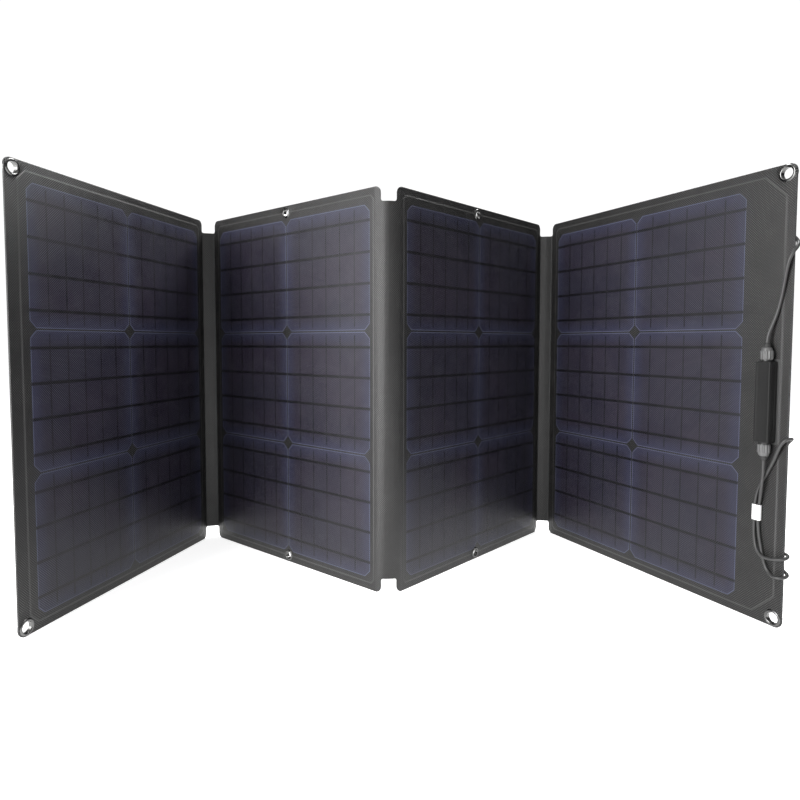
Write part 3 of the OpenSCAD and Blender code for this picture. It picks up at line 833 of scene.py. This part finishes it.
def fold_plan(fold):
    """place(s, v, z) for a fold: s runs across it from the crease on its left panel."""
    first = ground(joint_at[RIGHT_CREASE[fold]])
    second = ground(joint_at[LEFT_CREASE[fold + 1]])
    runs = [run_of(fold), (second - first).normalized(), run_of(fold + 1)]
    leg = CREASE_LEG[fold]

    def line(s):
        """Point and direction of the rounded path at each s, in metres."""
        point = np.zeros((len(s), 2))
        step = np.zeros((len(s), 2))
        pieces = [(first, runs[0], 0), (first, runs[1], 0), (second, runs[2], WEB_W)]
        which = np.digitize(s, [0, WEB_W])
        for number, (start, run, zero) in enumerate(pieces):
            chosen = which == number
            point[chosen] = np.array(start.xy) + (s[chosen, None] - zero) * MM * np.array(run.xy)
            step[chosen] = np.array(run.xy)
        for corner, zero, before, after in ((first, 0, *runs[:2]), (second, WEB_W, *runs[1:])):
            near = np.abs(s - zero) < leg
            t = ((s[near] - zero + leg) / (2 * leg))[:, None]
            a = np.array((corner - before * leg * MM).xy)
            c = np.array((corner + after * leg * MM).xy)
            b = np.array(corner.xy)
            point[near] = (1 - t) ** 2 * a + 2 * t * (1 - t) * b + t ** 2 * c
            step[near] = (1 - t) * (b - a) + t * (c - b)
        return point, step / np.hypot(*step.T)[:, None]

    def place(s, v, z):
        point, step = line(s)
        ahead = np.stack([step[:, 1], -step[:, 0]], -1)
        flat = point + np.asarray(v)[:, None] * MM * ahead
        return np.column_stack([flat, z * MM])

    def marker(s):
        point, _ = line(np.array([float(s)]))
        return (point[0, 0], point[0, 1], SHEET_H * MM / 2)

    return place, marker


def strip_edges(left_half):
    """Free lower and upper edges of half a fold strip, with the notch at each end."""
    r, fillet, gap = CORNER_R, FILLET_R, HINGE_GAP
    corner = arc(-gap - r, r, r, -90, 0)
    notch = arc(fillet - gap, NOTCH_D - fillet, fillet, 180, 90)
    low = np.array([(-SEAM_IN, 0), *corner, *notch, (WEB_W / 2, NOTCH_D)])
    if not left_half:
        low = np.stack([WEB_W - low[:, 0], low[:, 1]], -1)[::-1]
    high = np.stack([low[:, 0], SHEET_H - low[:, 1]], -1)[::-1]
    return [filled(low, 6), filled(high, 6)]


copper = simple("link_copper", 2, (0.35, 0.14, 0.05, 1), (0.5, 0.22, 0.1, 1), (0.3, 0.45), 1.0)


def make_links(name, place, start, end):
    """Two copper ribbons inside a fold, each following its curve."""
    rows, faces = [], []
    steps = np.linspace(start, end, 8)
    for z in (SHEET_H / 2 - CELL_PITCH / MM, SHEET_H / 2 + CELL_PITCH / MM):
        first = len(rows)
        count = len(steps)
        half = LINK_W / 2
        for v, edge in ((0.0, -half), (0.0, half), (LINK_T, half), (LINK_T, -half)):
            rows += list(place(steps, np.full(count, v), np.full(count, z + edge)))
        for side in range(4):
            a, b = first + side * count, first + (side + 1) % 4 * count
            faces += [(a + n, a + n + 1, b + n + 1, b + n) for n in range(count - 1)]
        faces += [tuple(first + side * count + n for side in range(4)) for n in (0, count - 1)]
    return solid(name, rows, faces, [copper])


def make_fold(fold):
    """Both halves of a fold's strip, lining and links, each blended over its hinge line."""
    place, marker = fold_plan(fold)
    leg = CREASE_LEG[fold]
    for left_half in (True, False):
        crease = 0 if left_half else WEB_W
        side = 1 if left_half else -1
        start, end = sorted((crease - side * SEAM_IN, WEB_W / 2))
        fine = np.linspace(crease - leg, crease + leg, 9)
        coarse = np.arange(start + 1.3, end - 0.4, 1.5)
        coarse = coarse[np.abs(coarse - crease) > leg + 0.5]
        columns = np.concatenate([fine, coarse])
        rows = np.arange(6, SHEET_H, GRID_STEP)
        grid = np.stack(np.meshgrid(columns, rows), -1).reshape(-1, 2)
        sheet = Sheet(strip_edges(left_half), points=grid)
        s = sheet.spots[:, 0]
        into = smooth(np.maximum(-s, s - WEB_W) / SEAM_IN)
        over = np.sin(np.pi * np.clip(s / WEB_W, 0, 1))

        def level(name, seam_level, bulge=0.0):
            return STRIP[name] + (seam_level - STRIP[name]) * into + bulge * over

        unrolled = UNROLLED[fold] + HALF_PANEL
        half = "left" if left_half else "right"
        link_ends = sorted((crease + side * HINGE_GAP, WEB_W / 2))
        link = make_links(f"fold_{fold}_links_{half}", place, *link_ends)
        film_front = level("film_front", SLAB["film_border"], BULGE[fold])
        film_back = level("film_back", SLAB["film_back"])
        film = sheet.layer(f"fold_{fold}_strip_{half}", film_front, film_back, place, unrolled,
                           [film_of_folds, film_of_folds], thin_front=FILM_THINNING)
        cover_front = level("cover_front", SLAB["cover_front"])
        cover_back = level("cover_back", SLAB["cover_border"])
        cover = sheet.layer(f"fold_{fold}_lining_{half}", cover_front, cover_back, place, unrolled,
                            [cover_material, cover_material], thin_back=COVER_THINNING)
        bodies = (f"panel_{fold}", f"web_{fold}") if left_half else (f"web_{fold}", f"panel_{fold + 1}")
        for piece, node, slot in ((film, "front_web", "laminate"), (cover, "back_web", "cover_cloth"),
                                  (link, "link_ribbons", "link_copper")):
            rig.blend(piece, *bodies, start=marker(crease - leg), end=marker(crease + leg))
            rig.replaces(piece, f"fold_{fold}_{node}")
            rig.slot(piece, slot)


for fold in FOLDS:
    make_fold(fold)

# ---------------------------------------------------------------- carried-over nodes
chrome = simple("chrome", 1, grey(0.09), grey(0.16, (1, 1, 0.98)), (0.2, 0.3), 1.0, 300, 0.00001)
washer = simple("washer_steel", 1, grey(0.42), grey(0.6), (0.28, 0.42), 1.0, 500, 0.00002, (1, 1, 6))
board = simple("board", 1, grey(0.006), grey(0.012), (0.6, 0.8))
ribbon = simple("ribbon", 1, grey(0.002), grey(0.005), (0.35, 0.5), 0.4, 700, 0.00001, (8, 1, 1))
for panel in PANELS:
    paint(f"panel_{panel}_cells", cell_material(panel))
    paint(f"panel_{panel}_ribbons", ribbon)
    paint(f"panel_{panel}_board", board)
for node in ("panel_1_corner_grommets", "panel_2_eyelets", "panel_3_eyelets", "panel_4_corner_grommets"):
    paint(node, chrome)
for node in ("panel_1_grommet_washers", "panel_2_eyelet_washers",
             "panel_3_eyelet_washers", "panel_4_grommet_washers"):
    paint(node, washer)

shell = simple("box_shell", 4, grey(0.007), grey(0.013), (0.46, 0.6), 0, 1400, 0.00005, IOR=1.3)
nut_plastic = simple("nut_plastic", 4, grey(0.07), grey(0.11), (0.3, 0.42), 0, 900, 0.00003)
gland_plastic = simple("gland_plastic", 4, grey(0.018), grey(0.028), (0.4, 0.52))
rubber = simple("seal_rubber", 4, grey(0.012), grey(0.022), (0.6, 0.75), 0, 1600, 0.00005)
pad_plastic = simple("pad_plastic", 4, grey(0.03), grey(0.055), (0.5, 0.62), 0, 1200, 0.00005)
green_board = simple("circuit_board", 4, (0.01, 0.09, 0.03, 1), (0.02, 0.14, 0.05, 1), (0.3, 0.42))
ferrite = simple("ferrite", 4, grey(0.06), grey(0.11), (0.6, 0.8), 0.1)
sleeve = simple("capacitor_sleeve", 4, (0.01, 0.012, 0.02, 1), (0.02, 0.024, 0.04, 1), (0.28, 0.4))
brass = simple("terminal_brass", 4, (0.5, 0.33, 0.1, 1), (0.65, 0.45, 0.17, 1), (0.25, 0.4), 1.0)
diode_plastic = simple("diode", 4, grey(0.01), grey(0.02), (0.4, 0.5))
pvc = simple("lead_pvc", 4, grey(0.026), grey(0.037), (0.36, 0.48), 0, 1500, 0.00002)
tape = simple("tag_tape", 4, grey(0.8), grey(0.92), (0.45, 0.6), 0, 2500, 0.00003)
plug_plastic = simple("plug_plastic", 4, grey(0.014), grey(0.024), (0.38, 0.5), 0, 1300, 0.00004)
plated = simple("plug_plating", 4, grey(0.55), grey(0.7), (0.16, 0.28), 1.0, 600, 0.00001)
for node, material in {
    "inline_box_circuit_board": green_board,
    "inline_box_inductor": ferrite,
    "inline_box_capacitors": sleeve,
    "junction_box_diode": diode_plastic,
    "junction_box_terminals": brass,
}.items():
    paint(node, material)

# ---------------------------------------------------------------- regulator, glands and plug


def rounded(x0, x1, z0, z1, r, steps=5):
    """A rounded rectangle as one ring of points."""
    corners = [(x1 - r, z1 - r, 0), (x0 + r, z1 - r, 90), (x0 + r, z0 + r, 180), (x1 - r, z0 + r, 270)]
    return np.array([spot for x, z, turn in corners for spot in arc(x, z, r, turn, turn + 90, steps)])


def block(low, high, r, profile):
    """Rings of a rounded block lying on panel 4; the profile's rows are (depth, inset)."""
    rings = []
    for v, inward in profile:
        x0, x1 = low[0] + inward, high[0] - inward
        z0, z1 = low[2] + inward, high[2] - inward
        ring = rounded(x0, x1, z0, z1, max(r - inward, 0.3))
        rings.append(on_panel(4, ring[:, 0], v, ring[:, 1]))
    return rings


def turned(start, way, profile, lobes=0, sides=48, along_x=False):
    """Rings round an axis from start; the profile's rows are (distance, radius, depth of the lobes)."""
    angles = np.arange(sides) * 2 * math.pi / sides
    x, v, z = start
    rings = []
    for distance, radius, *ripple in profile:
        reach = radius + (ripple[0] if ripple else 0) * np.cos(lobes * angles)
        a, b = reach * np.cos(angles), reach * np.sin(angles)
        if along_x:
            rings.append(on_panel(4, x + way * distance, v + a, z + b))
        else:
            rings.append(on_panel(4, x + a, v + b, z + way * distance))
    return rings


def skin(name, shells, material, node, slot, looped=False, sharp=40):
    """One piece from closed shells, each a row of equal rings, riding on panel 4."""
    rows, faces = [], []
    for rings in shells:
        first, count = len(rows), len(rings[0])
        rows += [point for ring in rings for point in ring]
        for n in range(len(rings) if looped else len(rings) - 1):
            a = first + n * count
            b = first + (n + 1) % len(rings) * count
            faces += [(a + t, a + (t + 1) % count, b + (t + 1) % count, b + t) for t in range(count)]
        if not looped:
            last = first + (len(rings) - 1) * count
            faces += [tuple(range(first, first + count)), tuple(range(last, last + count))]
    piece = solid(name, rows, faces, [material], sharp=sharp)
    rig.ride(piece, "panel_4")
    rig.replaces(piece, node)
    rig.slot(piece, slot)
    return piece


BOX_R = 1.3
BOX_WALL = 1.6
PAD_R = 3
JUNCTION_R = 3
JUNCTION_WALL = 1.8
box_low, box_split = local_box("inline_box_base", 4)
_, box_high = local_box("inline_box_cover", 4)
split_v, base_v, face_v = box_split[1], box_low[1], box_high[1]
base_profile = [
    (base_v, 0.5), (base_v + 0.15, 0.15), (base_v + 0.5, 0), (split_v - 0.4, 0), (split_v - 0.25, 0.12),
    (split_v - 0.2, 0.4), (split_v, 0.45), (split_v, BOX_WALL), (base_v + BOX_WALL, BOX_WALL),
]
cover_profile = [
    (face_v - BOX_WALL - 0.5, BOX_WALL), (split_v, BOX_WALL), (split_v, 0.45), (split_v + 0.2, 0.4),
    (split_v + 0.25, 0.12), (split_v + 0.4, 0), (face_v - 0.9, 0), (face_v - 0.5, 0.1),
    (face_v - 0.15, 0.35), (face_v, 0.8), (face_v, 2.2), (face_v - 0.1, 2.4), (face_v - 0.35, 2.5),
    (face_v - 0.4, 2.8),
]
box_base = block(box_low, box_high, BOX_R, base_profile)
box_cover = block(box_low, box_high, BOX_R, cover_profile)
skin("regulator_base", [box_base], shell, "inline_box_base", "box_shell")
skin("regulator_cover", [box_cover], shell, "inline_box_cover", "box_shell")

pad_low, pad_high = local_box("inline_box_pad", 4)
pad_back, pad_face = pad_low[1], pad_high[1]
pad_profile = [
    (pad_back, 0.2), (pad_back + 0.2, 0), (pad_face - 0.1, 0.1), (pad_face, 0.5), (pad_face - 0.02, 0.9),
    (pad_face - 0.25, 1.3), (pad_face - 0.25, 2.2),
]
pad_rings = block(pad_low, pad_high, PAD_R, pad_profile)
skin("regulator_pad", [pad_rings], pad_plastic, "inline_box_pad", "pad")

gland_x = (box_low[0] + box_high[0]) / 2
gland_v = (base_v + face_v) / 2
glands = [((gland_x, gland_v, box_low[2]), -1), ((gland_x, gland_v, box_high[2]), 1)]
BODY = [(0, 4.7), (0.3, 5), (1.7, 5), (2, 4.8), (2.02, 4), (13, 3.9), (13.4, 3.5)]
NUT = [
    (2.05, 5.4), (2.1, 5.8), (2.6, 6.0, 0.12), (3.1, 6.05, 0.42), (11.2, 6.05, 0.42), (11.7, 5.9, 0.2),
    (12.1, 5.5), (14.2, 5.15), (15, 4.7), (15.45, 4.1), (15.5, 3.6),
]
SEAL = [(13.5, 3.4), (15.5, 3.45), (15.7, 3.8), (17.6, 3.75), (19.2, 3.3), (20.2, 2.6), (20.5, 2.2)]
NUT_LOBES = 12
skin("gland_bodies", [turned(*gland, BODY) for gland in glands], gland_plastic,
     "cable_gland_bodies", "gland")
skin("gland_nuts", [turned(*gland, NUT, NUT_LOBES, 96) for gland in glands], nut_plastic,
     "cable_gland_nuts", "nut", sharp=50)
skin("gland_seals", [turned(*gland, SEAL) for gland in glands], rubber, "cable_gland_seals", "seal")

junction_low, junction_high = local_box("junction_box_base", 4)
lid_low, lid_high = local_box("junction_box_lid", 4)
floor_v, rim_v, back_v = junction_high[1], junction_low[1], lid_low[1]
junction_profile = [
    (floor_v, 0.2), (floor_v - 0.3, 0), (rim_v + 0.3, 0), (rim_v, 0.25), (rim_v, JUNCTION_WALL),
    (floor_v - 2, JUNCTION_WALL),
]
lid_profile = [
    (rim_v - 0.05, 0.5), (rim_v - 0.25, 0.05), (rim_v - 0.5, 0), (back_v + 0.7, 0), (back_v + 0.2, 0.3),
    (back_v, 0.9), (back_v, 3.2), (back_v + 0.3, 3.6), (back_v + 0.3, 4.5),
]
junction_rings = block(junction_low, junction_high, JUNCTION_R, junction_profile)
lid_rings = block(lid_low, lid_high, JUNCTION_R, lid_profile)
skin("junction_base", [junction_rings], shell, "junction_box_base", "box_shell")
skin("junction_lid", [lid_rings], gland_plastic, "junction_box_lid", "box_shell")
_, relief_high = local_box("junction_box_strain_relief", 4)
relief_v, relief_z = INPUT_ROUTE[0][1] / MM, INPUT_ROUTE[0][2] / MM
relief_l = relief_high[0] - junction_high[0]
relief = [(-1.7, 2.4), (0, 2.4), (0.05, 3.9), (1.6, 3.9), (1.9, 3.5)]
for ridge in range(4):
    at = 2.4 + ridge * 2.3
    wide = 3.6 - 0.25 * ridge
    relief += [(at, wide - 0.5), (at + 0.3, wide), (at + 1.4, wide - 0.1), (at + 1.7, wide - 0.6)]
relief += [(relief_l - 0.1, 2.3), (relief_l, 1.9)]
relief_rings = turned((junction_high[0], relief_v, relief_z), 1, relief, along_x=True)
skin("junction_relief", [relief_rings], rubber, "junction_box_strain_relief", "seal")

plug_x, plug_v = OUTPUT_ROUTE[-1][0] / MM, OUTPUT_ROUTE[-1][1] / MM


def plug_part(name, profile, material, node, slot):
    """A turned part of the plug, from the top of its CAD node down."""
    _, high = local_box(node, 4)
    return skin(name, [turned((plug_x, plug_v, high[2]), -1, profile)], material, node, slot)


tail = [(0, 2), (0.2, 2.35)]
for ridge in range(5):
    at = 1.2 + ridge * 2.4
    wide = 2.45 + 0.22 * ridge
    tail += [(at, wide - 0.45), (at + 0.3, wide), (at + 1.5, wide + 0.05), (at + 1.8, wide - 0.4)]
tail += [(13.7, 3.4), (14, 3.3)]
plug_relief = plug_part("plug_relief", tail, rubber, "output_plug_strain_relief", "seal")
grip = [(0, 3.3), (0.3, 4.0), (1.2, 4.6)]
for groove in range(6):
    at = 3 + groove * 1.8
    grip += [(at, 4.65), (at + 0.25, 4.3), (at + 0.8, 4.3), (at + 1.05, 4.65)]
grip += [(20.5, 4.65), (21.6, 4.3), (22, 3.6)]
plug_body = plug_part("plug_body", grip, plug_plastic, "output_plug_body", "plug")
barrel = [(0, 2.7), (9.3, 2.72), (9.8, 2.6), (10, 2.3), (10, 1.35), (9.8, 1.25), (2, 1.25)]
plug_barrel = plug_part("plug_barrel", barrel, plated, "output_plug_barrel", "plug_metal")

TAG_T = 0.3
TAG_R = 1.6
TAG_RINGS = 9
PINCH_W = 2.2
tag_low, tag_high = local_box("lead_tag", 4)
tag_middle = (tag_low + tag_high) / 2


def tag_ring(z, inward, sag):
    """A ring of the tag, pinched in between the two runs of the lead."""
    low, high = tag_low + inward, tag_high - inward
    ring = rounded(low[0], high[0], low[1], high[1], TAG_R - inward)
    pinch = 1 - sag * np.exp(-((ring[:, 0] - tag_middle[0]) / PINCH_W) ** 2)
    return on_panel(4, ring[:, 0], tag_middle[1] + (ring[:, 1] - tag_middle[1]) * pinch, z)


tag_zs = np.linspace(tag_low[2], tag_high[2], TAG_RINGS)
tag_sag = 0.22 + 0.06 * np.sin(np.arange(TAG_RINGS) * 1.9)
tag_rings = [tag_ring(z, 0, sag) for z, sag in zip(tag_zs, tag_sag)]
tag_rings += [tag_ring(z, TAG_T, sag) for z, sag in zip(tag_zs[::-1], tag_sag[::-1])]
tag = skin("lead_tape_tag", [tag_rings], tape, "lead_tag", "tag", looped=True)

# ---------------------------------------------------------------- leads, declared
for piece, node in ((input_cord, "input_lead"), (output_cord, "output_lead")):
    piece.data.materials.append(pvc)
    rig.ride(piece, "panel_4")
    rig.replaces(piece, node)
    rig.slot(piece, "lead")
start_of_input = on_panel(4, *(np.array(INPUT_ROUTE[0]) / MM))
start_of_output = on_panel(4, *(np.array(OUTPUT_ROUTE[0]) / MM))
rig.cord(input_cord, exit=tuple(start_of_input), length=0.14, diameter=LEAD_D, far_end="object",
        stiffness="limp", lay="loose")
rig.cord(output_cord, exit=tuple(start_of_output), length=0.55, diameter=LEAD_D, far_end="plug",
        stiffness="limp", lay="loose",
        with_pieces=[tag, plug_relief, plug_body, plug_barrel])

# ---------------------------------------------------------------- floor, backdrop and light
FLOOR_SIZE = 12


def make_floor():
    g = Graph("floor_paper", Roughness=0.9, Emission_Color=(1, 1, 1, 1), Emission_Strength=0.78)
    place = g.node("ShaderNodeTexCoord").outputs["Object"]
    g.set("Base Color", g.mix(g.noise(place, 3, 2), grey(0.9), grey(0.93)))
    mesh = bpy.data.meshes.new("floor")
    h = FLOOR_SIZE / 2
    mesh.from_pydata([(-h, -h, 0), (h, -h, 0), (h, h, 0), (-h, h, 0)], [], [(0, 1, 2, 3)])
    mesh.materials.append(g.material)
    floor = bpy.data.objects.new("floor", mesh)
    bpy.context.scene.collection.objects.link(floor)
    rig.stage(floor)


def softbox(name, place, aim, size, power):
    data = bpy.data.lights.new(name, "AREA")
    data.shape = "RECTANGLE"
    data.size, data.size_y = size
    data.energy = power
    light = bpy.data.objects.new(name, data)
    light.location = place
    light.rotation_euler = (Vector(aim) - Vector(place)).to_track_quat("-Z", "Y").to_euler()
    bpy.context.scene.collection.objects.link(light)


def make_world(seen, level, overhead):
    """White to the camera. As a light it is dim at eye level and bright overhead."""
    world = bpy.data.worlds.new("studio")
    world.use_nodes = True
    tree = world.node_tree
    tree.nodes.clear()
    place = tree.nodes.new("ShaderNodeTexCoord")
    parts = tree.nodes.new("ShaderNodeSeparateXYZ")
    height = tree.nodes.new("ShaderNodeMapRange")
    height.interpolation_type = "SMOOTHSTEP"
    rays = tree.nodes.new("ShaderNodeLightPath")
    strength = tree.nodes.new("ShaderNodeMapRange")
    back = tree.nodes.new("ShaderNodeBackground")
    out = tree.nodes.new("ShaderNodeOutputWorld")
    for socket, value in {"From Min": 0.1, "From Max": 0.8, "To Min": level, "To Max": overhead}.items():
        height.inputs[socket].default_value = value
    strength.inputs["To Max"].default_value = seen
    tree.links.new(place.outputs["Generated"], parts.inputs[0])
    tree.links.new(parts.outputs["Z"], height.inputs["Value"])
    tree.links.new(rays.outputs["Is Camera Ray"], strength.inputs["Value"])
    tree.links.new(height.outputs[0], strength.inputs["To Min"])
    tree.links.new(strength.outputs[0], back.inputs["Strength"])
    tree.links.new(back.outputs[0], out.inputs["Surface"])
    back.inputs["Color"].default_value = (1, 1, 1, 1)
    bpy.context.scene.world = world


make_floor()
make_world(1.05, 0.02, 0.36)
softbox("overhead", (0, -0.3, 2.6), (0, -0.3, 0), (4.5, 4.5), 33)
softbox("right_high", (0.6, 0.5, 1.6), (-0.4, -0.1, 0.3), (0.6, 0.6), 34)
softbox("left_box", (-1.3, -1.05, 0.8), (-0.05, 0.0, 0.27), (0.9, 1.3), 60)
bpy.context.scene.view_settings.view_transform = "Standard"

visual_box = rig.bounds()
with open(SIZE_FILE, "w") as file:
    json.dump({"cad": [list(corner) for corner in cad_box], "visual": [list(corner) for corner in visual_box]}, file)
